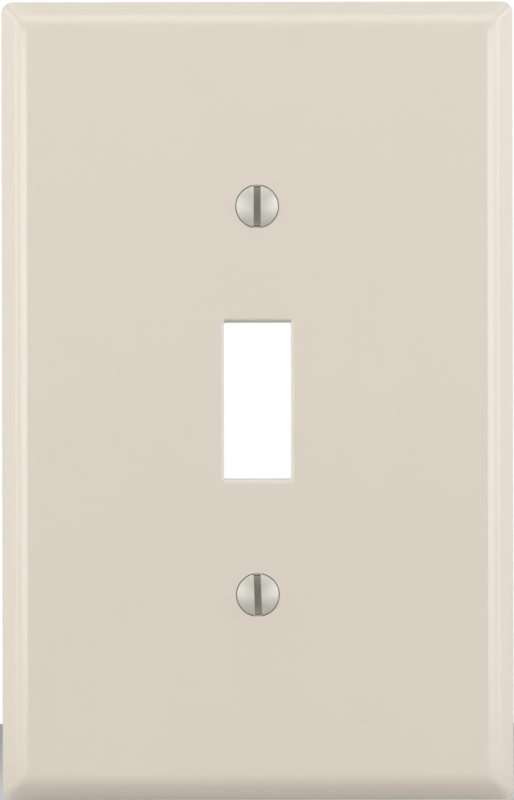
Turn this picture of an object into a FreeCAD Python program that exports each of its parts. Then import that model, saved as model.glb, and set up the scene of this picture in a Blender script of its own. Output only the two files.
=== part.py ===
import FreeCAD, Part
import os
import re
import Sketcher

# One-gang cover plate for a toggle switch, with two captive oval-head screws and their washers.
# X is the width, Z points up and the face looks along -Y. The origin is the centre of the rim,
# which stands against the wall, so a depth measured from the wall is a negative Y.

# Driving dimensions, in millimetres and degrees.
SIZES = {
    "plate_width": 79.4,
    "plate_height": 123.95,
    "plate_depth": 6.48,
    "corner_radius": 1.7,
    "face_wall": 2.4,
    "rim_wall": 2.3,
    "rim_edge_round": 0.25,
    # the bevelled border: a flat bevel outside, then a round that runs into the face
    "bevel_run": 2.0,
    "bevel_angle": 45,
    "edge_round": 3.0,
    # the hollow behind the face
    "recess_corner": 1.6,
    "recess_floor_round": 0.8,
    # the opening for the toggle
    "opening_width": 10.45,
    "opening_height": 24.2,
    "opening_draft_run": 0.25,
    "opening_corner": 0.3,
    "opening_edge_round": 0.38,
    "collar_wall": 1.3,
    "collar_height": 1.4,
    # stiffening ribs and ejector-pin marks on the inside of the face
    "rib_width": 1.2,
    "rib_height": 1.1,
    "rib_inset": 12.0,
    "rib_end_gap": 9.0,
    "mark_diameter": 5.0,
    "mark_depth": 0.15,
    "mark_inset": 6.0,
    "mark_end_inset": 14.0,
    # the screws, No. 6-32 by half an inch, and the holes that they pass through
    "screw_spacing": 60.325,
    "screw_length": 12.7,
    "thread_diameter": 3.505,
    "thread_pitch": 0.79375,
    "thread_depth": 0.487,
    "thread_root_flat": 0.132,
    "thread_flank_angle": 30,
    "neck_diameter": 2.5,
    # how far in front of the wall the thread starts, so that it holds the switch's strap
    "thread_set_back": 1.3,
    "tip_chamfer": 0.5,
    "head_diameter": 6.5,
    "head_angle": 82,
    "head_rise": 1.05,
    "head_land": 0.1,
    "slot_width": 1.08,
    "slot_depth": 1.4,
    "lower_slot_turn": 2,
    "hole_clearance": 0.25,
    "head_side_gap": 0.17,
    "seat_gap": 0.03,
    "boss_wall": 2.8,
    "boss_height": 0.6,
    # the fibre washer on each screw's neck, which its thread can't leave
    "retainer_diameter": 7.0,
    "retainer_thickness": 0.6,
    "retainer_bore_gap": 0.04,
    "retainer_gap": 0.05,
    "retainer_edge_round": 0.1,
    # how far a cutting outline runs past the surface that it cuts
    "cut_margin": 1.0,
    "groove_margin": 0.1,
}

# Places and sizes that follow from the driving dimensions.
PLACES = {
    "half_width": "plate_width / 2",
    "half_height": "plate_height / 2",
    "round_run": "edge_round * sin(bevel_angle * 1deg)",
    "round_drop": "edge_round * (1 - cos(bevel_angle * 1deg))",
    "bevel_drop": "bevel_run * tan(bevel_angle * 1deg)",
    "bevel_front": "plate_depth - round_drop",
    "bevel_back": "bevel_front - bevel_drop",
    "cut_front": "plate_depth + cut_margin",
    "side_bevel_inner": "half_width - bevel_run",
    "side_round_inner": "side_bevel_inner - round_run",
    "side_cut_outer": "half_width + cut_margin",
    "end_bevel_inner": "half_height - bevel_run",
    "end_round_inner": "end_bevel_inner - round_run",
    "end_cut_outer": "half_height + cut_margin",
    "recess_depth": "plate_depth - face_wall",
    "recess_half_width": "half_width - rim_wall",
    "recess_half_height": "half_height - rim_wall",
    "opening_half_width": "opening_width / 2",
    "opening_back_half": "opening_height / 2",
    "opening_front_half": "opening_back_half + opening_draft_run",
    "collar_half_width": "opening_half_width + collar_wall",
    "collar_half_height": "opening_back_half + collar_wall",
    "collar_end": "recess_depth - collar_height",
    "rib_inner": "recess_half_width - rib_inset - rib_width",
    "rib_outer": "recess_half_width - rib_inset",
    "rib_half_length": "recess_half_height - rib_end_gap",
    "mark_radius": "mark_diameter / 2",
    "mark_across": "recess_half_width - mark_inset",
    "mark_up": "recess_half_height - mark_end_inset",
    "screw_up": "screw_spacing / 2",
    "thread_radius": "thread_diameter / 2",
    "thread_root": "thread_radius - thread_depth",
    "head_radius": "head_diameter / 2",
    "head_slope": "tan(head_angle / 2 * 1deg)",
    "seat_offset": "seat_gap / cos(head_angle / 2 * 1deg)",
    "head_sink": "(head_side_gap - seat_offset) / head_slope - head_land",
    "head_edge_front": "plate_depth - head_sink",
    "dome_radius": "(head_radius * head_radius + head_rise * head_rise) / (2 * head_rise)",
    "neck_radius": "neck_diameter / 2",
    "cone_end": "head_land + (head_radius - neck_radius) / head_slope",
    "neck_end": "head_edge_front - thread_set_back",
    "thread_start": "neck_end + thread_radius - neck_radius",
    "chamfer_start": "screw_length - tip_chamfer",
    "chamfer_radius": "thread_radius - tip_chamfer",
    "slot_half_width": "slot_width / 2",
    "slot_reach": "head_radius + cut_margin",
    "groove_start": "screw_length + thread_pitch",
    "groove_reach": "groove_start - neck_end + thread_pitch",
    "groove_root_half": "thread_root_flat / 2",
    "groove_mouth_half": "groove_root_half + (thread_depth + groove_margin) * tan(thread_flank_angle * 1deg)",
    "groove_root_low": "groove_start + groove_root_half",
    "groove_root_high": "groove_start - groove_root_half",
    "groove_mouth_low": "groove_start + groove_mouth_half",
    "groove_mouth_high": "groove_start - groove_mouth_half",
    "groove_mouth_radius": "thread_radius + groove_margin",
    "hole_diameter": "thread_diameter + 2 * hole_clearance",
    "countersink_diameter": "head_diameter + 2 * head_side_gap",
    "boss_radius": "hole_diameter / 2 + boss_wall",
    "retainer_radius": "retainer_diameter / 2",
    "retainer_bore": "neck_radius + retainer_bore_gap",
    "retainer_back": "thread_set_back + retainer_gap",
}

# an edge runs along the depth if it goes this many times as far along Y as across
STEEP = 5
# lengths and volumes closer than this are the same
NEAR = 1e-4

doc = FreeCAD.newDocument("toggle_cover_plate")


def spelled(formula):
    """The formula with each bare name led by the object that holds it."""

    def owner(match):
        name = match.group(0)
        if name in SIZES:
            return "Sizes." + name
        return "Places." + name if name in PLACES else name

    return re.sub(r"[a-z][a-z_]+", owner, formula)


def fill_sheet():
    """The spreadsheet of driving dimensions."""
    sheet = doc.addObject("Spreadsheet::Sheet", "Sizes")
    for row, (name, value) in enumerate(SIZES.items(), start=1):
        sheet.set(f"A{row}", name)
        sheet.set(f"B{row}", str(value))
        sheet.setAlias(f"B{row}", name)
    doc.recompute()
    return sheet


def fill_places():
    """The set of worked-out places, each bound to the spreadsheet."""
    places = doc.addObject("App::VarSet", "Places")
    for name, formula in PLACES.items():
        places.addProperty("App::PropertyFloat", name, "Worked out")
        places.setExpression(name, spelled(formula))
    doc.recompute()
    return places


sizes = fill_sheet()
places = fill_places()


def number(name):
    """The value of a name that may have a minus sign before it, or of a plain 0."""
    if name == "0":
        return 0.0
    holder = sizes if name.lstrip("-") in SIZES else places
    value = float(getattr(holder, name.lstrip("-")))
    return -value if name.startswith("-") else value


def flipped(name):
    """The same distance on the other side of zero."""
    if name == "0":
        return name
    return name[1:] if name.startswith("-") else "-" + name


def bind(item, path, formula):
    """Ties one property of a feature to the driving dimensions."""
    item.setExpression(path, spelled(formula))


def new_sketch(body, name, plane, offset=None):
    """A sketch on one of the body's own origin planes, or a named distance along its normal."""
    sketch = body.newObject("Sketcher::SketchObject", name)
    origin = next(item for item in body.Origin.OriginFeatures if item.Role == plane)
    sketch.AttachmentSupport = [(origin, "")]
    sketch.MapMode = "FlatFace"
    if offset:
        bind(sketch, "AttachmentOffset.Base.z", offset)
    return sketch


def place_point(sketch, geometry, end, across, up):
    """Holds one end of an edge, or a centre, at a named place."""
    for kind, name in (("DistanceX", across), ("DistanceY", up)):
        made = sketch.addConstraint(Sketcher.Constraint(kind, -1, 1, geometry, end, number(name)))
        if name != "0":
            bind(sketch, f"Constraints[{made}]", name)


def arc_edge(start, end, radius):
    """The minor arc from start to end that bulges to the left of that direction."""
    chord = end - start
    sagitta = radius - (radius**2 - (chord.Length / 2) ** 2) ** 0.5
    left = FreeCAD.Vector(-chord.y, chord.x, 0).normalize()
    return Part.Arc(start, (start + end) / 2 + left * sagitta, end)


def draw_outline(sketch, corners, arcs=None):
    """A closed outline through named corners; arcs maps the edge after a corner to its radius."""
    arcs = arcs or {}
    spots = [FreeCAD.Vector(number(across), number(up), 0) for across, up in corners]
    edges = []
    for index, start in enumerate(spots):
        end = spots[(index + 1) % len(spots)]
        if index in arcs:
            edge = sketch.addGeometry(arc_edge(start, end, number(arcs[index])))
        else:
            edge = sketch.addGeometry(Part.LineSegment(start, end))
        turned = (sketch.getPoint(edge, 1) - start).Length > NEAR
        edges.append((edge, 2, 1) if turned else (edge, 1, 2))
    for index, (edge, first, last) in enumerate(edges):
        after, after_first, _ = edges[(index + 1) % len(edges)]
        sketch.addConstraint(Sketcher.Constraint("Coincident", edge, last, after, after_first))
        place_point(sketch, edge, first, *corners[index])
        if index in arcs:
            made = sketch.addConstraint(Sketcher.Constraint("Radius", edge, number(arcs[index])))
            bind(sketch, f"Constraints[{made}]", arcs[index])


def draw_rectangle(sketch, left, right, low, high):
    """A rectangle between four named places."""
    draw_outline(sketch, [(left, low), (right, low), (right, high), (left, high)])


def draw_circle(sketch, across, up, radius):
    """A circle about a named place."""
    centre = FreeCAD.Vector(number(across), number(up), 0)
    circle = sketch.addGeometry(Part.Circle(centre, FreeCAD.Vector(0, 0, 1), number(radius)))
    place_point(sketch, circle, 3, across, up)
    made = sketch.addConstraint(Sketcher.Constraint("Radius", circle, number(radius)))
    bind(sketch, f"Constraints[{made}]", radius)


def add_feature(body, kind, name, profile, **settings):
    """A sketch-based feature, recomputed, which must change the body's volume."""
    before = body.Shape.Volume if body.Tip else 0.0
    feature = body.newObject(kind, name)
    feature.Profile = profile
    lengths = {key: text for key, text in settings.items() if key in ("Length", "Angle")}
    for key, value in settings.items():
        if key not in lengths:
            setattr(feature, key, value)
    for key, formula in lengths.items():
        bind(feature, key, formula)
    doc.recompute()
    change = body.Shape.Volume - before
    adds = kind in ("PartDesign::Pad", "PartDesign::Revolution")
    if (change > 0) != adds or abs(change) < NEAR:
        raise RuntimeError(f"{name} changed the volume by {change}")
    return feature


def dress_edges(body, kind, name, size, chosen):
    """A fillet or chamfer on the edges of the body that chosen picks out."""
    base = body.Tip
    names = [f"Edge{index}" for index, edge in enumerate(base.Shape.Edges, 1) if chosen(edge)]
    if not names:
        raise RuntimeError(f"{name} has no edges")
    feature = body.newObject(kind, name)
    feature.Base = (base, names)
    bind(feature, "Radius" if kind.endswith("Fillet") else "Size", size)
    doc.recompute()
    return feature


def runs_along_depth(edge, half_width, half_height):
    """True for an edge that runs mainly along Y near a corner of the given rectangle."""
    first, last = edge.Vertexes[0].Point, edge.Vertexes[-1].Point
    across = max(abs(last.x - first.x), abs(last.z - first.z), NEAR)
    if abs(last.y - first.y) < STEEP * across:
        return False
    margin = number("opening_draft_run") + number("opening_corner")
    return abs(abs(first.x) - half_width) < margin and abs(abs(first.z) - half_height) < margin


def lies_flat(edge, depth, half_width, half_height):
    """True for an edge at one depth that stays inside a rectangle about the centre."""
    box = edge.BoundBox
    if abs(box.YMin + depth) > NEAR or abs(box.YMax + depth) > NEAR:
        return False
    across = max(abs(box.XMin), abs(box.XMax))
    return across < half_width + NEAR and max(abs(box.ZMin), abs(box.ZMax)) < half_height + NEAR


def cut_border(body, name, plane, half, swapped):
    """Cuts the bevel and the round along two opposite edges of the face."""
    sketch = new_sketch(body, name + "_outline", plane)
    for sign in ("", "-"):
        bevel_inner = f"{name}_bevel_inner"
        round_inner = f"{name}_round_inner"
        corners = [
            (half, "-bevel_back"),
            (bevel_inner, "-bevel_front"),
            (round_inner, "-plate_depth"),
            (round_inner, "-cut_front"),
            (f"{name}_cut_outer", "-cut_front"),
            (f"{name}_cut_outer", "-bevel_back"),
        ]
        if sign:
            corners = [(flipped(across), depth) for across, depth in reversed(corners)]
        arc = 3 if sign else 1
        if swapped:
            corners = [(depth, across) for across, depth in reversed(corners)]
            arc = 1 if sign else 3
        draw_outline(sketch, corners, {arc: "edge_round"})
    add_feature(body, "PartDesign::Pocket", name + "_cut", sketch, Type="ThroughAll", Midplane=True)


def build_plate():
    """The moulded plate: a bevelled shell with an opening, two bossed holes and low ribs."""
    body = doc.addObject("PartDesign::Body", "wall_plate")
    body.Label = "wall_plate"

    sketch = new_sketch(body, "plate_outline", "XZ_Plane")
    draw_rectangle(sketch, "-half_width", "half_width", "-half_height", "half_height")
    add_feature(body, "PartDesign::Pad", "plate_block", sketch, Length="plate_depth")
    half_width = number("half_width")
    half_height = number("half_height")
    dress_edges(
        body,
        "PartDesign::Fillet",
        "plate_corners",
        "corner_radius",
        lambda edge: runs_along_depth(edge, half_width, half_height),
    )
    cut_border(body, "side", "XY_Plane", "half_width", swapped=False)
    cut_border(body, "end", "YZ_Plane", "half_height", swapped=True)

    hollow_back(body)
    for name, left, right, high, reach in (
        ("collar", "-collar_half_width", "collar_half_width", "collar_half_height", "collar_height"),
        ("left_rib", "-rib_outer", "-rib_inner", "rib_half_length", "rib_height"),
        ("right_rib", "rib_inner", "rib_outer", "rib_half_length", "rib_height"),
    ):
        sketch = new_sketch(body, name + "_outline", "XZ_Plane", "recess_depth")
        draw_rectangle(sketch, left, right, "-" + high, high)
        add_feature(body, "PartDesign::Pad", name, sketch, Reversed=True, Length=reach)
    sketch = new_sketch(body, "boss_outline", "XZ_Plane", "recess_depth")
    for up in ("screw_up", "-screw_up"):
        draw_circle(sketch, "0", up, "boss_radius")
    add_feature(body, "PartDesign::Pad", "bosses", sketch, Reversed=True, Length="boss_height")

    cut_toggle_opening(body)
    cut_screw_holes(body)
    cut_ejector_marks(body)
    rim_inner = number("recess_half_width")
    rim_inner_height = number("recess_half_height")
    dress_edges(
        body,
        "PartDesign::Fillet",
        "rim_edges",
        "rim_edge_round",
        lambda edge: lies_flat(edge, 0, half_width, half_height)
        and not lies_flat(edge, 0, rim_inner, rim_inner_height),
    )
    return body


def hollow_back(body):
    """Hollows the plate from the wall side, with round corners all the way down."""
    sketch = new_sketch(body, "recess_outline", "XZ_Plane")
    width, height = "recess_half_width", "recess_half_height"
    draw_rectangle(sketch, "-" + width, width, "-" + height, height)
    add_feature(body, "PartDesign::Pocket", "recess", sketch, Reversed=True, Length="recess_depth")
    inner_width, inner_height = number(width), number(height)
    dress_edges(
        body,
        "PartDesign::Fillet",
        "recess_corners",
        "recess_corner",
        lambda edge: runs_along_depth(edge, inner_width, inner_height),
    )
    floor = number("recess_depth")
    dress_edges(
        body,
        "PartDesign::Fillet",
        "recess_floor_edges",
        "recess_floor_round",
        lambda edge: lies_flat(edge, floor, inner_width, inner_height),
    )


def cut_toggle_opening(body):
    """The opening for the toggle: straight sides, drafted ends and a rounded front edge."""
    sketch = new_sketch(body, "opening_outline", "YZ_Plane")
    draw_outline(
        sketch,
        [
            ("cut_margin", "opening_back_half"),
            ("-collar_end", "opening_back_half"),
            ("-plate_depth", "opening_front_half"),
            ("-cut_front", "opening_front_half"),
            ("-cut_front", "-opening_front_half"),
            ("-plate_depth", "-opening_front_half"),
            ("-collar_end", "-opening_back_half"),
            ("cut_margin", "-opening_back_half"),
        ],
    )
    add_feature(
        body,
        "PartDesign::Pocket",
        "toggle_opening",
        sketch,
        Midplane=True,
        Length="opening_width",
    )
    half_width, half_height = number("opening_half_width"), number("opening_back_half")
    dress_edges(
        body,
        "PartDesign::Fillet",
        "opening_corners",
        "opening_corner",
        lambda edge: runs_along_depth(edge, half_width, half_height),
    )
    face, front_half = number("plate_depth"), number("opening_front_half")
    dress_edges(
        body,
        "PartDesign::Fillet",
        "opening_edges",
        "opening_edge_round",
        lambda edge: lies_flat(edge, face, half_width, front_half),
    )


def cut_screw_holes(body):
    """Two countersunk clearance holes through the face and the bosses."""
    sketch = new_sketch(body, "hole_centres", "XZ_Plane", "plate_depth")
    for up in ("screw_up", "-screw_up"):
        draw_circle(sketch, "0", up, "thread_radius")
    doc.recompute()
    before = body.Shape.Volume
    hole = body.newObject("PartDesign::Hole", "screw_holes")
    hole.Profile = sketch
    hole.DepthType = "ThroughAll"
    hole.HoleCutType = "Countersink"
    hole.HoleCutCustomValues = True
    bind(hole, "Diameter", "hole_diameter")
    bind(hole, "HoleCutDiameter", "countersink_diameter")
    bind(hole, "HoleCutCountersinkAngle", "head_angle")
    doc.recompute()
    if body.Shape.Volume > before - NEAR:
        raise RuntimeError("screw_holes cut nothing")


def cut_ejector_marks(body):
    """Six shallow round marks that the mould's ejector pins leave inside the face."""
    sketch = new_sketch(body, "mark_centres", "XZ_Plane", "recess_depth")
    for across in ("-mark_across", "mark_across"):
        for up in ("-mark_up", "0", "mark_up"):
            draw_circle(sketch, across, up, "mark_radius")
    add_feature(body, "PartDesign::Pocket", "ejector_marks", sketch, Reversed=True, Length="mark_depth")


def stand_out(body, up, depth, turn=0.0):
    """Turns a body's own +Z to face out of the plate, on a screw's axis, at a named depth."""
    facing = FreeCAD.Rotation(FreeCAD.Vector(1, 0, 0), 90)
    turning = FreeCAD.Rotation(FreeCAD.Vector(0, 0, 1), turn)
    body.Placement = FreeCAD.Placement(FreeCAD.Vector(), facing * turning)
    bind(body, "Placement.Base.y", depth)
    bind(body, "Placement.Base.z", up)


def build_screw(name, up, turn):
    """An oval-head captive screw about its own Z, with its head's edge at zero."""
    body = doc.addObject("PartDesign::Body", name)
    body.Label = name
    sketch = new_sketch(body, name + "_profile", "XZ_Plane")
    draw_outline(
        sketch,
        [
            ("0", "head_rise"),
            ("head_radius", "0"),
            ("head_radius", "-head_land"),
            ("neck_radius", "-cone_end"),
            ("neck_radius", "-neck_end"),
            ("thread_radius", "-thread_start"),
            ("thread_radius", "-chamfer_start"),
            ("chamfer_radius", "-screw_length"),
            ("0", "-screw_length"),
        ],
        {0: "dome_radius"},
    )
    axis = (sketch, ["V_Axis"])
    add_feature(body, "PartDesign::Revolution", name + "_blank", sketch, ReferenceAxis=axis)

    sketch = new_sketch(body, name + "_groove", "XZ_Plane")
    draw_outline(
        sketch,
        [
            ("thread_root", "-groove_root_low"),
            ("groove_mouth_radius", "-groove_mouth_low"),
            ("groove_mouth_radius", "-groove_mouth_high"),
            ("thread_root", "-groove_root_high"),
        ],
    )
    doc.recompute()
    before = body.Shape.Volume
    helix = body.newObject("PartDesign::SubtractiveHelix", name + "_thread")
    helix.Profile = sketch
    helix.ReferenceAxis = (sketch, ["V_Axis"])
    helix.Mode = "pitch-height-angle"
    bind(helix, "Pitch", "thread_pitch")
    bind(helix, "Height", "groove_reach")
    doc.recompute()
    if body.Shape.Volume > before - NEAR:
        raise RuntimeError(f"{name}_thread cut nothing")

    sketch = new_sketch(body, name + "_slot_outline", "XY_Plane", "head_rise")
    draw_rectangle(sketch, "-slot_half_width", "slot_half_width", "-slot_reach", "slot_reach")
    add_feature(body, "PartDesign::Pocket", name + "_slot", sketch, Length="slot_depth")
    stand_out(body, up, "-head_edge_front", turn)
    return body


def build_retainer(name, up):
    """A flat fibre washer, loose on a screw's neck between the boss and the thread."""
    body = doc.addObject("PartDesign::Body", name)
    body.Label = name
    sketch = new_sketch(body, name + "_outline", "XY_Plane")
    draw_circle(sketch, "0", "0", "retainer_radius")
    draw_circle(sketch, "0", "0", "retainer_bore")
    add_feature(body, "PartDesign::Pad", name + "_ring", sketch, Length="retainer_thickness")
    radius = number("retainer_radius")
    dress_edges(
        body,
        "PartDesign::Fillet",
        name + "_edges",
        "retainer_edge_round",
        lambda edge: len(edge.Vertexes) == 1 and edge.BoundBox.XMax > radius - NEAR,
    )
    stand_out(body, up, "-retainer_back")
    return body


def write_parts(bodies):
    """Checks every object, then writes one STEP file for each sub-part."""
    doc.recompute()
    for item in doc.Objects:
        if "Invalid" in item.State or "Error" in item.State:
            raise RuntimeError(f"{item.Label} is {item.State}")
    os.makedirs("parts", exist_ok=True)
    for body in bodies:
        if body.Shape.isNull() or not body.Shape.isValid() or len(body.Shape.Solids) != 1:
            raise RuntimeError(f"{body.Label} is not one valid solid")
        body.Shape.exportStep(f"parts/{body.Label}.step")
        print(f"{body.Label}: {body.Shape.Volume:.3f} mm3, {len(body.Shape.Faces)} faces")


def main():
    """Builds the plate, its screws and their washers."""
    bodies = [build_plate()]
    for side, up, turn in (("upper", "screw_up", 0.0), ("lower", "-screw_up", number("lower_slot_turn"))):
        bodies.append(build_screw(side + "_screw", up, turn))
        bodies.append(build_retainer(side + "_screw_retainer", up))
    write_parts(bodies)


main()
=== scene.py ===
import bmesh
import bpy
import numpy as np
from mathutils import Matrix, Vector


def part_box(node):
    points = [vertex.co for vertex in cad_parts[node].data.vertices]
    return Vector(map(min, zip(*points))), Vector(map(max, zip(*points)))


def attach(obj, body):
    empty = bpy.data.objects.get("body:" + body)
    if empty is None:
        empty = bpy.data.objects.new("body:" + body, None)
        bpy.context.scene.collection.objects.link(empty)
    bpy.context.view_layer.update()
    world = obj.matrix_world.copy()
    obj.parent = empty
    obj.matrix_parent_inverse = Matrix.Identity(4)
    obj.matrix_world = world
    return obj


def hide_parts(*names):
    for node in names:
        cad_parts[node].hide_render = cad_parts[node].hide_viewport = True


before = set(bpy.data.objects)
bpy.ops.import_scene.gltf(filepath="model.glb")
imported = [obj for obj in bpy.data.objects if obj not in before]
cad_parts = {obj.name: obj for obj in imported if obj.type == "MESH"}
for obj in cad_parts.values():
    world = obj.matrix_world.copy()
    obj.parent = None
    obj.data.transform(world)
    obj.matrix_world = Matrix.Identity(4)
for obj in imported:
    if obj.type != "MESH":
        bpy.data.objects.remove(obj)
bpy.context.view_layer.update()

# ------------------------------------------------------------------ the cover plate
# The plate is one moulding in light almond urea: a shell with a bevelled border, a collared
# opening for the toggle and two countersunk holes in bosses. Its front is polished; the hollow
# behind it keeps the fine grain of the mould's core, with low ribs and ejector-pin marks.

MM = 0.001

plate_low, plate_high = (np.array(corner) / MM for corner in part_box("wall_plate"))
half_width = plate_high[0]
half_height = plate_high[2]
face = plate_low[1]
rim = plate_high[1]

WALL = 2.3
FACE_WALL = 2.4
floor = face + FACE_WALL
# points of support lie this far beyond a round, so that the flat next to it shades flat
FLOOR_LEAD = 0.2
FACE_LEAD = 0.3
RIM_ROUND = 0.25
RIM_INNER_ROUND = 0.12
FLOOR_ROUND = 0.8
OUTLINE_CORNER = 1.7
RECESS_CORNER = 1.6
HIP = 0.7
HIP_REACH = 0.8
BEVEL_RUN = 2.0
BORDER_ROUND = 3.0
SHOULDER_ROUND = 0.3
NEAR_EDGE = 0.12
CORNER_STEPS = 8

# where the flat webs are divided, so that the front and the back share their lines
SCREW_UP = 30.1625
SCREW_CELL = 10.0
RIB_ACROSS = 24.8
RIB_CELL = 3.6
RIB_CELL_UP = 54.0
MARK_ACROSS = 31.4
MARK_END_INSET = 14.0
MARK_UP = half_height - WALL - MARK_END_INSET
MARK_CELL = 3.0
WEB_UP = 56.6
NEAR = 1e-6


def stations(stops, counts):
    """Places along a half width, evenly spaced between each pair of stops, and the same mirrored
    to the other side."""
    ahead = [np.linspace(a, b, n, endpoint=False) for a, b, n in zip(stops[:-1], stops[1:], counts)]
    half = np.concatenate(ahead + [stops[-1:]])
    return np.concatenate([-half[:0:-1], half])


web_x = stations(
    [0, SCREW_CELL, RIB_ACROSS - RIB_CELL, MARK_ACROSS - MARK_CELL, MARK_ACROSS + MARK_CELL],
    [12, 5, 6, 12],
)
web_z = stations(
    [
        0,
        MARK_CELL,
        SCREW_UP - SCREW_CELL,
        SCREW_UP + SCREW_CELL,
        MARK_UP - MARK_CELL,
        MARK_UP + MARK_CELL,
        RIB_CELL_UP,
        WEB_UP,
    ],
    [6, 10, 24, 2, 12, 4, 2],
)


def arc(centre, radius, start, end, steps=6):
    """A round in a profile: centre + radius * (cos, sin) of evenly spaced angles, in degrees."""
    angle = np.radians(np.linspace(start, end, steps + 1))
    return np.stack([centre[0] + radius * np.cos(angle), centre[1] + radius * np.sin(angle)], axis=1)


def profile(*runs):
    """A profile through rounds and points. Each long straight run gets a point near both of its
    ends, which keeps it flat."""
    rows = [np.atleast_2d(runs[0])]
    for run in runs[1:]:
        run = np.atleast_2d(run)
        start, end = rows[-1][-1], run[0]
        length = np.hypot(*(end - start))
        if length > 4 * NEAR_EDGE:
            step = (end - start) * (NEAR_EDGE / length)
            rows.append(np.array([start + step, end - step]))
        rows.append(run)
    return np.concatenate(rows)


def loops(half_x, half_z, corner, depth, side_x, side_z, centre=(0.0, 0.0)):
    """Rounded rectangles, one for each row of sizes, as a grid (row, point round the loop, xyz).
    A side's points are (half size, station). A corner's are its centre + radius * (cos, sin)."""
    sizes = [np.atleast_1d(np.asarray(v, float))[:, None] for v in (half_x, half_z, corner, depth)]
    rows = max(len(v) for v in sizes)
    half_x, half_z, corner, depth = (np.broadcast_to(v, (rows, 1)) for v in sizes)
    turn = np.linspace(0, np.pi / 2, CORNER_STEPS + 1)[None]
    across, up = half_x - corner, half_z - corner
    x = [
        half_x + 0 * side_z[None],
        across + corner * np.cos(turn),
        -side_x[None] + 0 * half_x,
        -across - corner * np.sin(turn),
    ]
    z = [
        side_z[None] + 0 * half_z,
        up + corner * np.sin(turn),
        half_z + 0 * side_x[None],
        up + corner * np.cos(turn),
    ]
    x, z = np.concatenate(x, axis=1), np.concatenate(z, axis=1)
    x, z = np.concatenate([x, -x], axis=1), np.concatenate([z, -z], axis=1)
    return np.stack([x + centre[0], depth + 0 * x, z + centre[1]], axis=2)


def band(grid):
    """Quads between neighbouring rows of a grid whose rows are closed loops."""
    index = np.arange(grid.shape[0] * grid.shape[1]).reshape(grid.shape[:2])
    ahead = np.roll(index, -1, axis=1)
    quads = np.stack([index[:-1], ahead[:-1], ahead[1:], index[1:]], axis=2)
    return grid.reshape(-1, 3), quads.reshape(-1, 4)


def patch(grid, keep=None):
    """Quads of an open grid, or only those that a mask keeps."""
    index = np.arange(grid.shape[0] * grid.shape[1]).reshape(grid.shape[:2])
    quads = np.stack([index[:-1, :-1], index[1:, :-1], index[1:, 1:], index[:-1, 1:]], axis=2)
    return grid.reshape(-1, 3), quads[keep] if keep is not None else quads.reshape(-1, 4)


def web(depth, cells):
    """The flat web at one depth: a grid on the shared stations, left out inside each cell
    (x, z, half x, half z)."""
    x, z = np.meshgrid(web_x, web_z, indexing="ij")
    middle_x = (web_x[1:] + web_x[:-1])[:, None] / 2
    middle_z = (web_z[1:] + web_z[:-1])[None] / 2
    keep = np.ones((len(web_x) - 1, len(web_z) - 1), bool)
    for across, up, cell_x, cell_z in cells:
        keep &= (abs(middle_x - across) > cell_x) | (abs(middle_z - up) > cell_z)
    return patch(np.stack([x, depth + 0 * x, z], axis=2), keep)


def cell_loop(cell, depth):
    """The edge of a cell of the web, as one loop on the web's own stations."""
    across, up, cell_x, cell_z = cell
    side_x = web_x[abs(web_x - across) < cell_x + NEAR] - across
    side_z = web_z[abs(web_z - up) < cell_z + NEAR] - up
    return loops(cell_x, cell_z, 0.0, depth, side_x, side_z, (across, up)), side_x, side_z


def around(cell, rows, front_depth, back_depth):
    """Circles about a cell's centre, one for each (radius, depth), joined to the cell's edge in
    front and, if there is a back depth, to its edge there. A point is radius * (cos, sin) of the
    angle of the point that it faces on the cell's edge."""
    edge, _, _ = cell_loop(cell, front_depth)
    angle = np.arctan2(edge[0, :, 2] - cell[1], edge[0, :, 0] - cell[0])
    radius, depth = rows[:, :1], rows[:, 1:]
    x, z = cell[0] + radius * np.cos(angle), cell[1] + radius * np.sin(angle)
    grids = [edge, np.stack([x, depth + 0 * x, z], axis=2)]
    if back_depth is not None:
        grids.append(cell_loop(cell, back_depth)[0])
    return band(np.concatenate(grids))


WELD = 0.0008


def solid(name, surfaces, sharp=35.0):
    """One closed mesh from surfaces in millimetres that share their edges: welded, with its faces
    outwards. An edge that turns by more than sharp, in degrees, isn't smoothed."""
    starts = np.cumsum([0] + [len(points) for points, _ in surfaces[:-1]])
    points = np.concatenate([points for points, _ in surfaces]) * MM
    quads = np.concatenate([quads + start for (_, quads), start in zip(surfaces, starts)])
    mesh = bpy.data.meshes.new(name)
    mesh.from_pydata(points.tolist(), [], quads.tolist())
    shell = bmesh.new()
    shell.from_mesh(mesh)
    bmesh.ops.remove_doubles(shell, verts=shell.verts, dist=WELD * MM)
    bmesh.ops.recalc_face_normals(shell, faces=shell.faces)
    open_edges = sum(len(edge.link_faces) != 2 for edge in shell.edges)
    if open_edges:
        raise ValueError(f"{name} has {open_edges} open edges")
    shell.to_mesh(mesh)
    shell.free()
    mesh.shade_smooth()
    mesh.set_sharp_from_angle(angle=np.radians(sharp))
    piece = bpy.data.objects.new(name, mesh)
    bpy.context.scene.collection.objects.link(piece)
    return piece


# the shell's section, from the hollow's floor, over the rim and the bevel, to the face
shoulder = BORDER_ROUND * np.sin(np.pi / 4)
round_inner = BEVEL_RUN + shoulder
bevel_front = face + BORDER_ROUND * (1 - np.cos(np.pi / 4))
bevel_back = bevel_front + BEVEL_RUN
shoulder_up = bevel_back + SHOULDER_ROUND * np.tan(np.pi / 8)

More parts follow.
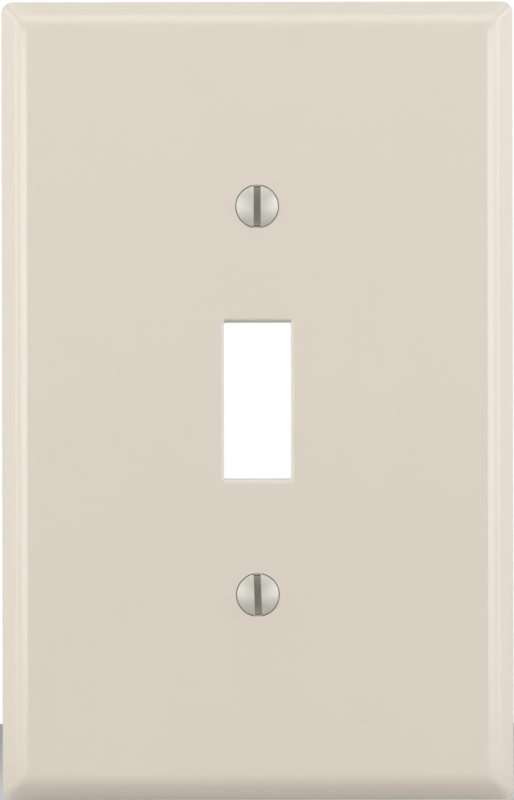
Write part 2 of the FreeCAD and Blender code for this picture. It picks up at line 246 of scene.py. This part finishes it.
inside = profile(
    arc((WALL + FLOOR_ROUND, floor + FLOOR_ROUND), FLOOR_ROUND, -90, -180, 8),
    arc((WALL - RIM_INNER_ROUND, rim - RIM_INNER_ROUND), RIM_INNER_ROUND, 0, 90, 4),
)
outside = profile(
    arc((RIM_ROUND, rim - RIM_ROUND), RIM_ROUND, 90, 180, 5),
    arc((SHOULDER_ROUND, shoulder_up), SHOULDER_ROUND, 180, 225, 4),
    arc((round_inner, face + BORDER_ROUND), BORDER_ROUND, 225, 270, 12),
    (round_inner + FACE_LEAD, face),
)
inside = np.concatenate([[(WALL + FLOOR_ROUND + FLOOR_LEAD, floor)], inside])
section = np.concatenate([inside, outside])
# the corner's radius falls from the outline's to that of the hip between two bevels
corner = np.concatenate([
    RECESS_CORNER + WALL - inside[:, 0],
    HIP + (OUTLINE_CORNER - HIP) * np.exp(-outside[:, 0] / HIP_REACH),
])
edge_x, edge_z = web_x[-1], web_z[-1]
border = loops(
    np.concatenate([[edge_x], half_width - section[:, 0], [edge_x]]),
    np.concatenate([[edge_z], half_height - section[:, 0], [edge_z]]),
    np.concatenate([[0], corner, [0]]),
    np.concatenate([[floor], section[:, 1], [face]]),
    web_x,
    web_z,
)

# the two countersunk holes and their bosses, from the face to the hollow's floor
HOLE = 2.0025
COUNTERSINK = 3.42
HALF_ANGLE = 41.0
EDGE_BREAK = 0.08
HOLE_LEAD = 0.4
HOLE_ROUND = 0.1
BOSS = 4.8025
BOSS_HEIGHT = 0.6
BOSS_ROUND = 0.15
FOOT_ROUND = 0.2
boss_end = floor + BOSS_HEIGHT
cone_back = face + (COUNTERSINK - HOLE) / np.tan(np.radians(HALF_ANGLE))
break_run = EDGE_BREAK * np.tan(np.radians((90 - HALF_ANGLE) / 2))
hole_rows = profile(
    (COUNTERSINK + HOLE_LEAD, face),
    arc((COUNTERSINK + break_run, face + EDGE_BREAK), EDGE_BREAK, -90, HALF_ANGLE - 180, 4),
    (HOLE, cone_back),
    arc((HOLE + HOLE_ROUND, boss_end - HOLE_ROUND), HOLE_ROUND, 180, 90, 4),
    arc((BOSS - BOSS_ROUND, boss_end - BOSS_ROUND), BOSS_ROUND, 90, 0, 4),
    arc((BOSS + FOOT_ROUND, floor + FOOT_ROUND), FOOT_ROUND, 180, 270, 4),
    (BOSS + FOOT_ROUND + FACE_LEAD, floor),
)
screw_cells = [(0.0, up, SCREW_CELL, SCREW_CELL) for up in (SCREW_UP, -SCREW_UP)]

# the opening, from its rounded front edge, down its drafted wall and over the collar
OPENING_X = 5.225
OPENING_Z = 12.1
OPENING_DRAFT = 0.42
OPENING_CORNER = 0.3
OPENING_ROUND = 0.38
COLLAR_WALL = 1.3
COLLAR_HEIGHT = 1.4
COLLAR_CORNER = 0.5
COLLAR_ROUND = 0.12
COLLAR_INNER_ROUND = 0.1
CORNER_GAP = 0.05
collar_end = floor + COLLAR_HEIGHT
opening_cell = (0.0, 0.0, SCREW_CELL, SCREW_UP - SCREW_CELL)
mouth = profile(
    (OPENING_ROUND + FACE_LEAD, face),
    arc((OPENING_ROUND, face + OPENING_ROUND), OPENING_ROUND, -90, -180, 8),
    arc((COLLAR_INNER_ROUND, collar_end - COLLAR_INNER_ROUND), COLLAR_INNER_ROUND, 180, 90, 4),
)
collar = profile(
    arc((COLLAR_WALL - COLLAR_ROUND, collar_end - COLLAR_ROUND), COLLAR_ROUND, 90, 0, 4),
    arc((COLLAR_WALL + FOOT_ROUND, floor + FOOT_ROUND), FOOT_ROUND, 180, 270, 4),
    (COLLAR_WALL + FOOT_ROUND + FACE_LEAD, floor),
)
collar_corner = COLLAR_CORNER + collar[:, 0] - COLLAR_WALL + COLLAR_ROUND
draft = OPENING_DRAFT * (collar_end - mouth[:, 1]) / (collar_end - face)
front_edge, side_x, side_z = cell_loop(opening_cell, face)
back_edge, _, _ = cell_loop(opening_cell, floor)
opening = np.concatenate([
    front_edge,
    loops(
        OPENING_X + np.concatenate([mouth[:, 0], collar[:, 0]]),
        OPENING_Z + np.concatenate([mouth[:, 0] + draft, collar[:, 0]]),
        np.concatenate([OPENING_CORNER + mouth[:, 0], collar_corner]),
        np.concatenate([mouth[:, 1], collar[:, 1]]),
        side_x * (OPENING_X - OPENING_CORNER - CORNER_GAP) / SCREW_CELL,
        side_z * (OPENING_Z - OPENING_CORNER - CORNER_GAP) / side_z[-1],
    ),
    back_edge,
])

# two ribs stand on the hollow's floor, and six shallow marks are sunk in it
RIB_HALF = 0.6
RIB_END_GAP = 9.0
RIB_REACH = half_height - WALL - RIB_END_GAP
RIB_HEIGHT = 1.1
RIB_CORNER = 0.45
RIB_ROUND = 0.15
rib_top = floor + RIB_HEIGHT
rib_side = profile(
    (FOOT_ROUND + FACE_LEAD, floor),
    arc((FOOT_ROUND, floor + FOOT_ROUND), FOOT_ROUND, 270, 180, 4),
    arc((-RIB_ROUND, rib_top - RIB_ROUND), RIB_ROUND, 0, 90, 4),
)
rib_cells = [(side * RIB_ACROSS, 0.0, RIB_CELL, RIB_CELL_UP) for side in (1, -1)]

MARK = 2.5
MARK_DEPTH = 0.15
MARK_DRAFT = 0.04
MARK_LEAD = 0.15
MARK_INNER_LEAD = 0.2
mark_floor = floor - MARK_DEPTH
mark_rows = np.array([
    (MARK + MARK_LEAD, floor),
    (MARK, floor),
    (MARK - MARK_DRAFT, mark_floor),
    (MARK - MARK_INNER_LEAD, mark_floor),
    (0, mark_floor),
])
mark_ups = (MARK_UP, 0.0, -MARK_UP)
mark_cells = [(side * MARK_ACROSS, up, MARK_CELL, MARK_CELL) for side in (1, -1) for up in mark_ups]

surfaces = [band(border), band(opening)]
surfaces += [web(face, screw_cells + [opening_cell])]
surfaces += [web(floor, screw_cells + [opening_cell] + rib_cells + mark_cells)]
surfaces += [around(cell, hole_rows, face, floor) for cell in screw_cells]
surfaces += [around(cell, mark_rows, floor, None) for cell in mark_cells]
for cell in rib_cells:
    edge, side_x, side_z = cell_loop(cell, floor)
    side_x = side_x * (RIB_HALF - RIB_CORNER - CORNER_GAP) / side_x[-1]
    side_z = side_z * (RIB_REACH - RIB_HALF - CORNER_GAP) / side_z[-1]
    out, depth = rib_side[:, 0], rib_side[:, 1]
    flank = loops(RIB_HALF + out, RIB_REACH + out, RIB_CORNER + out, depth, side_x, side_z, cell[:2])
    ridge = loops(0.0, RIB_REACH - RIB_HALF, 0.0, rib_top, 0 * side_x, side_z, cell[:2])
    surfaces.append(band(np.concatenate([edge, flank, ridge])))
plate = solid("almond_cover_plate", surfaces)


class Wire:
    """A node's output. Arithmetic on wires and numbers adds Math nodes, so that a pattern reads
    as a formula."""

    def __init__(self, shader, socket):
        self.shader, self.socket = shader, socket

    def __add__(self, other):
        return self.shader.math("ADD", self, other)

    def __sub__(self, other):
        return self.shader.math("SUBTRACT", self, other)

    def __rsub__(self, other):
        return self.shader.math("SUBTRACT", other, self)

    def __mul__(self, other):
        return self.shader.math("MULTIPLY", self, other)

    def __abs__(self):
        return self.shader.math("ABSOLUTE", self)

    __radd__ = __add__
    __rmul__ = __mul__


class Shader:
    """The nodes of a new material or of the world. add() makes any node: its settings first, then
    its sockets."""

    def __init__(self, owner):
        owner.use_nodes = True
        self.owner, self.tree = owner, owner.node_tree
        self.tree.nodes.clear()

    def add(self, kind, settings, sockets, out=0):
        made = self.tree.nodes.new(kind)
        for name, value in settings.items():
            setattr(made, name, value)
        for name, value in sockets.items():
            if isinstance(value, Wire):
                self.tree.links.new(value.socket, made.inputs[name])
            else:
                made.inputs[name].default_value = value
        return Wire(self, made.outputs[out]) if len(made.outputs) else made

    def math(self, operation, first, second=0.0):
        """A Math node on wires or numbers."""
        return self.add("ShaderNodeMath", {"operation": operation}, {0: first, 1: second})

    def place(self, kind="Object"):
        """Where a point is, in metres, as a vector and as its three parts."""
        here = self.add("ShaderNodeTexCoord", {}, {}, kind)
        return here, [self.add("ShaderNodeSeparateXYZ", {}, {0: here}, axis) for axis in "XYZ"]

    def noise(self, where, size, detail=2.0, roughness=0.5):
        """Noise from 0 to 1 whose lumps are about size across, in millimetres."""
        sockets = {"Vector": where, "Scale": 1 / (size * MM), "Detail": detail, "Roughness": roughness}
        return self.add("ShaderNodeTexNoise", {}, sockets, "Fac")

    def ramp(self, value, low, high, start=0.0, end=1.0):
        """start where value is under low, end where it is over high, and a smooth step between them."""
        settings = {"interpolation_type": "SMOOTHSTEP", "clamp": True}
        return self.add("ShaderNodeMapRange", settings, {0: value, 1: low, 2: high, 3: start, 4: end})

    def blend(self, share, first, second):
        """The first colour where share is 0 and the second where it is 1."""
        return self.add("ShaderNodeMix", {"data_type": "RGBA"}, {0: share, 6: first, 7: second}, 2)

    def bump(self, height, depth, below=None):
        """Tilts the surface as height says; depth is in millimetres."""
        sockets = {"Distance": depth * MM, "Height": height}
        if below is not None:
            sockets["Normal"] = below
        return self.add("ShaderNodeBump", {}, sockets, "Normal")

    def surface(self, **sockets):
        """Ends a material in a Principled shader; a socket's name is written with underscores."""
        sockets = {name.replace("_", " "): value for name, value in sockets.items()}
        made = self.add("ShaderNodeBsdfPrincipled", {}, sockets)
        self.add("ShaderNodeOutputMaterial", {}, {"Surface": made})
        return self.owner


def rgb(*levels):
    """A colour with full alpha."""
    return (*levels, 1.0)


# The plate's colour clouds by a hundredth or two, as urea does. The polished face has a faint
# orange peel; the hollow is duller, with the grain that the mould's core leaves.
CLOUD_SIZE = 14.0
PEEL_SIZE = 1.6
GRAIN_SIZE = 0.22
CORE_EDGE = 0.1
CORE_START = 0.3

urea = Shader(bpy.data.materials.new("light_almond_urea"))
where, (x, y, z) = urea.place()
inside_x = urea.ramp(abs(x), (half_width - WALL) * MM, (half_width - WALL + CORE_EDGE) * MM, 1, 0)
inside_z = urea.ramp(abs(z), (half_height - WALL) * MM, (half_height - WALL + CORE_EDGE) * MM, 1, 0)
cored = urea.ramp(y, (floor - CORE_START) * MM, (floor - CORE_EDGE) * MM) * inside_x * inside_z
cloud = urea.noise(where, CLOUD_SIZE, 3.0)
peel = urea.noise(where, PEEL_SIZE, 2.0)
grain = urea.noise(where, GRAIN_SIZE, 3.0, 0.6)
colour = urea.blend(cloud, rgb(0.727, 0.661, 0.572), rgb(0.743, 0.679, 0.592))
colour = urea.blend(cored * 0.6, colour, rgb(0.700, 0.622, 0.525))

# Painted shade darkens the gap round each screw's head from just under the face, standing in for
# the shadow that the head casts on the countersink's wall. Where the head's slot runs out to the gap,
# it starts deeper.
HOLE_EDGE = 0.06
SLOT_END = 0.5
PAST_SLOT_END = 0.65
SHADE_START = 0.005
SHADE_FULL = 0.04
DEEP_START = 0.05
DEEP_FULL = 0.5

up = abs(z) - SCREW_UP * MM
from_axis = urea.math("SQRT", x * x + up * up)
gap = urea.ramp(from_axis, COUNTERSINK * MM, (COUNTERSINK + HOLE_EDGE) * MM, 1, 0) * (1 - cored)
beside_slot = urea.ramp(abs(x), SLOT_END * MM, PAST_SLOT_END * MM)
shallow = urea.ramp(y, (face + SHADE_START) * MM, (face + SHADE_FULL) * MM)
deep = urea.ramp(y, (face + DEEP_START) * MM, (face + DEEP_FULL) * MM)
gap_shade = gap * urea.math("MAXIMUM", beside_slot * shallow, deep)
# painted shade: the gap's colour is darkened towards a dark brown
colour = urea.blend(gap_shade * 0.85, colour, rgb(0.16, 0.125, 0.095))
rough = 0.11 + 0.03 * cloud + 0.02 * grain + 0.3 * cored + 0.4 * gap_shade
peeled = urea.bump(peel * (1 - 0.7 * cored), 0.006)
grained = urea.bump(grain * (0.12 + cored), 0.012, peeled)
almond = urea.surface(Base_Color=colour, Roughness=rough, Normal=grained, IOR=1.52)

plate.data.materials.append(almond)
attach(plate, "plate")
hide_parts("wall_plate")

# ------------------------------------------------------------------ the plate screws
# Two oval-head machine screws, cold-headed from steel wire, slotted, rolled with a right-hand
# thread below a plain neck, and nickel plated: satin and faintly warm, duller in the slot, where
# the colour is also darkened as painted shade.

HEAD = 3.25
HEAD_RISE = 1.05
HEAD_LAND = 0.1
SLOT_HALF = 0.54
SLOT_DEPTH = 1.5
SLOT_SAG = 0.3
NECK = 1.25
NECK_BACK = -1.3
PITCH = 0.79375
THREAD = 1.7525
THREAD_DEPTH = 0.487
ROOT_FLAT = 0.132
TIP_CHAMFER = 0.5
LOWER_TURN = 2.0
SLOT_BREAK = 0.035
SCREW_LENGTH = 12.7

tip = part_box("upper_screw")[1][1] / MM
head_edge = tip - SCREW_LENGTH
dome = (HEAD**2 + HEAD_RISE**2) / (2 * HEAD_RISE)
apex = head_edge - HEAD_RISE
land_end = head_edge + HEAD_LAND
slot_floor = apex + SLOT_DEPTH
slope = np.tan(np.radians(HALF_ANGLE))
floor_radius = HEAD - (slot_floor - land_end) * slope
cone_end = land_end + (HEAD - NECK) / slope
CHEEK_STEPS = 34
SLOT_STEPS = 6

cheek = np.linspace(-1, 1, CHEEK_STEPS + 1)
across_slot = np.linspace(1, -1, SLOT_STEPS + 1) * SLOT_HALF


def head_loop(radius):
    """Angles round the head, for each radius. The cheeks end where cos(angle) = half the slot / radius,
    and the points between them lie at even steps across the slot."""
    radius = np.atleast_1d(radius)[:, None]
    cheek_end = np.arccos(SLOT_HALF / radius)
    gap = np.pi / 2 - np.arcsin(across_slot[None, 1:-1] / radius)
    half = np.concatenate([cheek * cheek_end, gap], axis=1)
    return np.concatenate([half, half + np.pi], axis=1)


def rings(radius, depth, angle):
    """Points at radius * (cos, sin) of each angle, one row for each radius and depth."""
    radius, depth = np.asarray(radius)[:, None], np.asarray(depth)[:, None]
    x = radius * np.cos(angle)
    return np.stack([x, depth + 0 * x, radius * np.sin(angle)], axis=2)


def mirrored(grid):
    """The same grid on the other side of the screw's axis."""
    return grid * np.array([-1.0, 1.0, -1.0])


def crown(x, z):
    """Depth of the domed head: apex + dome radius - sqrt(dome radius^2 - x^2 - z^2)."""
    return apex + dome - np.sqrt(dome**2 - x**2 - z**2)


def threaded(angle):
    """The thread and its run-outs. Rows follow the helix, depth = start + pitch * (row - angle / 360),
    and the radius is the smallest of the V profile's and the cones' at both ends."""
    flank = THREAD_DEPTH * np.tan(np.radians(30))
    crest = PITCH - 2 * flank - ROOT_FLAT
    stops = np.cumsum([0, crest, flank, ROOT_FLAT, flank])
    knots = np.concatenate([
        np.linspace(a, b, n, endpoint=False) for a, b, n in zip(stops[:-1], stops[1:], (2, 5, 2, 5))
    ])
    cut = np.interp(knots, stops, [0, 0, THREAD_DEPTH, THREAD_DEPTH, 0])
    turns = np.arange(-2, np.ceil((tip - NECK_BACK) / PITCH) + 2)
    along = NECK_BACK + (knots[None] + PITCH * turns[:, None]).reshape(-1, 1)
    cut = np.tile(cut, len(turns))[:, None]
    depth = along - PITCH * angle[None] / (2 * np.pi)
    depth = np.clip(depth, NECK_BACK, tip)
    lead = NECK + depth - NECK_BACK
    chamfer = THREAD - TIP_CHAMFER + tip - depth
    radius = np.minimum(np.minimum(lead, chamfer), THREAD - cut)
    grid = np.stack([radius * np.cos(angle), depth, radius * np.sin(angle)], axis=2)
    index = np.arange(grid.shape[0] * grid.shape[1]).reshape(grid.shape[:2])
    step = len(knots)
    seam = np.roll(index[:, :1], step, axis=0)
    ahead = np.concatenate([index[:, 1:], seam], axis=1)
    quads = np.stack([index[:-1], ahead[:-1], ahead[1:], index[1:]], axis=2)
    quads = quads[step:]
    return grid.reshape(-1, 3), quads.reshape(-1, 4)


def screw_surfaces():
    """Every surface of one screw about its own axis, in millimetres."""
    rim_angle = head_loop(HEAD)[0, : CHEEK_STEPS + 1]
    rim_x, rim_z = HEAD * np.cos(rim_angle), HEAD * np.sin(rim_angle)
    spread = np.linspace(0, 1, 15)[:, None]
    x = SLOT_HALF + spread * (rim_x - SLOT_HALF)
    z = rim_z + 0 * x
    cheek_top = np.stack([x, crown(x, z), z], axis=2)

    top = crown(SLOT_HALF, rim_z)
    down = np.linspace(0, 1, 4)[:, None]
    wall_depth = top + down * (head_edge - top)
    wall_high = np.stack([SLOT_HALF + 0 * wall_depth, wall_depth, rim_z + 0 * down], axis=2)
    row_depth = np.array([
        head_edge,
        (head_edge + land_end) / 2,
        land_end,
        (land_end + slot_floor) / 2,
        slot_floor,
    ])
    row_radius = np.interp(row_depth, [land_end, slot_floor], [HEAD, floor_radius])
    along = (rim_z / np.sqrt(HEAD**2 - SLOT_HALF**2))[None]
    reach = np.sqrt(row_radius**2 - SLOT_HALF**2)[:, None]
    run = reach * along
    wall_low = np.stack([SLOT_HALF + 0 * run, row_depth[:, None] + 0 * along, run], axis=2)

    # the floor that the round saw leaves: its ends' depth + sag * (1 - place along the slot^2)
    sagged = slot_floor + SLOT_SAG * (1 - along**2)
    wall_foot = np.concatenate([wall_low[-1:], wall_low[-1:]])
    wall_foot[1, :, 1] = sagged
    bed = np.sqrt(floor_radius**2 - across_slot**2)[:, None] * along
    slot_bed = np.stack([across_slot[:, None] + 0 * bed, sagged + 0 * bed, bed], axis=2)
    flank = rings(row_radius, row_depth, head_loop(row_radius)[:, : CHEEK_STEPS + 1])

    cone_radius = np.linspace(floor_radius, NECK, 6)
    neck_angle = head_loop(NECK)
    cone = rings(cone_radius, np.linspace(slot_floor, cone_end, 6), head_loop(cone_radius))
    neck = rings([NECK] * 4, np.linspace(cone_end, NECK_BACK, 4), neck_angle)
    end_radius = THREAD - TIP_CHAMFER
    end = rings([end_radius, end_radius * 0.85, 0], [tip] * 3, neck_angle)
    one_side = [cheek_top, wall_high, wall_low, wall_foot, flank]
    open_grids = one_side + [mirrored(grid) for grid in one_side] + [slot_bed]
    blank = [patch(grid) for grid in open_grids] + [band(grid) for grid in (cone, neck, end)]
    return blank + [threaded(neck_angle[0])]


def placed(surfaces, up, turn):
    """The surfaces turned about the screw's axis, in degrees, and moved up to its hole."""
    turn = np.radians(turn)
    matrix = np.array([[np.cos(turn), 0, np.sin(turn)], [0, 1, 0], [-np.sin(turn), 0, np.cos(turn)]])
    return [(points @ matrix + [0, 0, up], quads) for points, quads in surfaces]


MOTTLE_SIZE = 0.9
FINE_SIZE = 0.09
UNDER_CROWN = 0.08
WELL_UNDER_CROWN = 0.9
PAST_SLOT_FLOOR = 0.01
WELL_PAST_SLOT_FLOOR = 0.05

steel = Shader(bpy.data.materials.new("satin_nickel_plate"))
where, (x, y, z) = steel.place()
mottle = steel.noise(where, MOTTLE_SIZE, 3.0)
fine = steel.noise(where, FINE_SIZE, 2.0)
up = abs(z) - SCREW_UP * MM
ahead = y - (apex + dome) * MM
from_centre = steel.math("SQRT", x * x + up * up + ahead * ahead)
under_crown = steel.ramp(dome * MM - from_centre, UNDER_CROWN * MM, WELL_UNDER_CROWN * MM)
slot_foot = (slot_floor + SLOT_SAG + PAST_SLOT_FLOOR) * MM
slot_past = (slot_floor + SLOT_SAG + WELL_PAST_SLOT_FLOOR) * MM
# painted shade: inside the slot the colour is darkened, and the slot is also rougher
slot_shade_and_dullness = under_crown * steel.ramp(y, slot_foot, slot_past, 1, 0)
colour = steel.blend(mottle, rgb(0.615, 0.602, 0.540), rgb(0.675, 0.662, 0.600))
colour = steel.blend(slot_shade_and_dullness * 0.85, colour, rgb(0.45, 0.45, 0.37))
nickel = steel.surface(
    Base_Color=colour,
    Metallic=1.0,
    Roughness=0.5 + 0.12 * mottle + 0.1 * slot_shade_and_dullness,
    Normal=steel.bump(fine, 0.002),
)

for side, up, turn in (("upper", SCREW_UP, 0.0), ("lower", -SCREW_UP, LOWER_TURN)):
    screw = solid(side + "_oval_head_screw", placed(screw_surfaces(), up, turn), 32.0)
    screw.data.materials.append(nickel)
    softened = screw.modifiers.new("slot_edges", "BEVEL")
    softened.width = SLOT_BREAK * MM
    softened.segments = 2
    softened.limit_method = "ANGLE"
    softened.angle_limit = np.radians(72)
    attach(screw, side + "_screw")
    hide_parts(side + "_screw")

# ------------------------------------------------------------------ the fibre washers
# A washer punched from red vulcanised fibre sits loose on each screw's neck behind the plate,
# where the thread keeps it. It is thin and hard, dull all over, and its cut edge shows fine layers.

WASHER = 3.5
WASHER_BORE = 1.29
WASHER_ROUND = 0.1
BORE_ROUND = 0.05
WASHER_STEPS = 96
washer_low, washer_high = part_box("upper_screw_retainer")
washer_front, washer_back = washer_low[1] / MM, washer_high[1] / MM
washer_section = profile(
    arc((WASHER_BORE + BORE_ROUND, washer_front + BORE_ROUND), BORE_ROUND, 180, 270, 3),
    arc((WASHER - WASHER_ROUND, washer_front + WASHER_ROUND), WASHER_ROUND, -90, 0, 4),
    arc((WASHER - WASHER_ROUND, washer_back - WASHER_ROUND), WASHER_ROUND, 0, 90, 4),
    arc((WASHER_BORE + BORE_ROUND, washer_back - BORE_ROUND), BORE_ROUND, 90, 180, 3),
)
washer_section = np.concatenate([washer_section, washer_section[:1]])
round_angle = np.linspace(0, 2 * np.pi, WASHER_STEPS, endpoint=False)[None]

MATTED_SIZE = 0.35
LAYER_SIZE = 0.08
LAYER_STRETCH = (0.15, 1.0, 0.15)

fibre = Shader(bpy.data.materials.new("red_vulcanised_fibre"))
where, _ = fibre.place()
matted = fibre.noise(where, MATTED_SIZE, 4.0, 0.65)
flat = fibre.add(
    "ShaderNodeVectorMath", {"operation": "MULTIPLY"}, {0: where, 1: LAYER_STRETCH}, "Vector"
)
layers = fibre.noise(flat, LAYER_SIZE, 2.0)
colour = fibre.blend(matted, rgb(0.30, 0.095, 0.060), rgb(0.50, 0.19, 0.12))
dull = fibre.surface(
    Base_Color=colour,
    Roughness=0.62 + 0.2 * matted,
    Normal=fibre.bump(matted + 0.6 * layers, 0.02),
)

for side, up in (("upper", SCREW_UP), ("lower", -SCREW_UP)):
    washer_rings = rings(washer_section[:, 0], washer_section[:, 1], round_angle)
    washer = solid(side + "_fibre_washer", placed([band(washer_rings)], up, 0.0))
    washer.data.materials.append(dull)
    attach(washer, side + "_retainer")
    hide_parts(side + "_screw_retainer")

# ------------------------------------------------------------------ the studio
# A pale matt floor a millimetre under the plate, with soft boxes in front, at both sides and
# above. The surround is white behind the plate and dim in front of it. The camera looks square
# at the face through a long lens, and leans by a tenth of a degree.

FLOOR_HALF = 1.2
FLOOR_BACK = 0.7
FLOOR_GAP = 0.001
PAPER_CLOUD = 60.0
stage_z = plate_low[2] * MM - FLOOR_GAP
floor_corners = [
    (-FLOOR_HALF, -FLOOR_HALF, stage_z),
    (FLOOR_HALF, -FLOOR_HALF, stage_z),
    (FLOOR_HALF, FLOOR_BACK, stage_z),
    (-FLOOR_HALF, FLOOR_BACK, stage_z),
]
mesh = bpy.data.meshes.new("studio_floor")
mesh.from_pydata(floor_corners, [], [(0, 1, 2, 3)])
studio_floor = bpy.data.objects.new("studio_floor", mesh)
bpy.context.scene.collection.objects.link(studio_floor)
paper = Shader(bpy.data.materials.new("pale_paper"))
where, _ = paper.place()
tone = paper.blend(paper.noise(where, PAPER_CLOUD), rgb(0.67, 0.665, 0.66), rgb(0.70, 0.695, 0.69))
studio_floor.data.materials.append(paper.surface(Base_Color=tone, Roughness=0.9))


def soft_box(name, place, aim, size, power, colour):
    """A rectangular lamp that faces its aim. Places and (width, height) are in metres, and power
    is in watts."""
    lamp = bpy.data.lights.new(name, "AREA")
    lamp.shape = "RECTANGLE"
    lamp.size, lamp.size_y = size
    lamp.energy, lamp.color = power, colour
    stand = bpy.data.objects.new(name, lamp)
    stand.location = place
    stand.rotation_euler = (Vector(aim) - Vector(place)).to_track_quat("-Z", "Y").to_euler()
    bpy.context.scene.collection.objects.link(stand)


def at(across, up, away):
    """A place away from the plate's middle, across to the right of its front and up, in degrees."""
    across, up = np.radians(across), np.radians(up)
    return away * np.array([np.sin(across) * np.cos(up), -np.cos(across) * np.cos(up), np.sin(up)])


warm = (1.0, 1.0, 0.97)
cool = (0.97, 0.96, 1.0)
white = (1.0, 1.0, 1.0)
plate_middle = (0, 0, 0)
soft_box("left_front_box", at(-28, 0, 0.8), plate_middle, (0.52, 0.17), 1.05, warm)
soft_box("right_front_box", at(28, 0, 0.8), plate_middle, (0.52, 0.17), 0.99, cool)
soft_box("left_side_box", at(-66, 5, 0.5), plate_middle, (0.35, 0.6), 1.06, warm)
soft_box("right_side_box", at(66, 5, 0.5), plate_middle, (0.35, 0.6), 1.2, cool)
soft_box("left_grazing_box", at(-84, 5, 0.5), plate_middle, (0.2, 0.6), 0.44, warm)
soft_box("right_grazing_box", at(84, 5, 0.5), plate_middle, (0.2, 0.6), 0.44, cool)
soft_box("high_box", (0, -0.30, 0.45), plate_middle, (0.6, 0.3), 0.66, white)
soft_box("high_grazing_box", (0, -0.10, 0.50), plate_middle, (0.6, 0.2), 0.56, white)

FRONT_GLOW = 0.2
BACK_GLOW = 0.81
world = bpy.data.worlds.new("studio_surround")
bpy.context.scene.world = world
surround = Shader(world)
_, (x, y, z) = surround.place("Generated")
backdrop = surround.math("MAXIMUM", y, 0)
white_glow = {"Color": rgb(1.0, 1.0, 1.0), "Strength": FRONT_GLOW + BACK_GLOW * backdrop}
glow = surround.add("ShaderNodeBackground", {}, white_glow)
surround.add("ShaderNodeOutputWorld", {}, {"Surface": glow})

LENS = 800.0
VIEW_HEIGHT = 0.12436
ROLL = 0.11
AIM_ACROSS = -0.00008
AIM_UP = 0.0001
FAR_LIMIT = 100
eye = bpy.data.cameras.new("square_on")
eye.lens = LENS
eye.clip_end = FAR_LIMIT
eye_stand = bpy.data.objects.new("square_on", eye)
away = VIEW_HEIGHT * LENS / eye.sensor_width
outline_middle = np.array([AIM_ACROSS, bevel_back * MM, AIM_UP])
eye_stand.location = outline_middle + at(0, 0, away)
eye_stand.rotation_euler = (np.pi / 2, np.radians(ROLL), 0)
bpy.context.scene.collection.objects.link(eye_stand)
bpy.context.scene.camera = eye_stand
bpy.context.scene.view_settings.view_transform = "Standard"
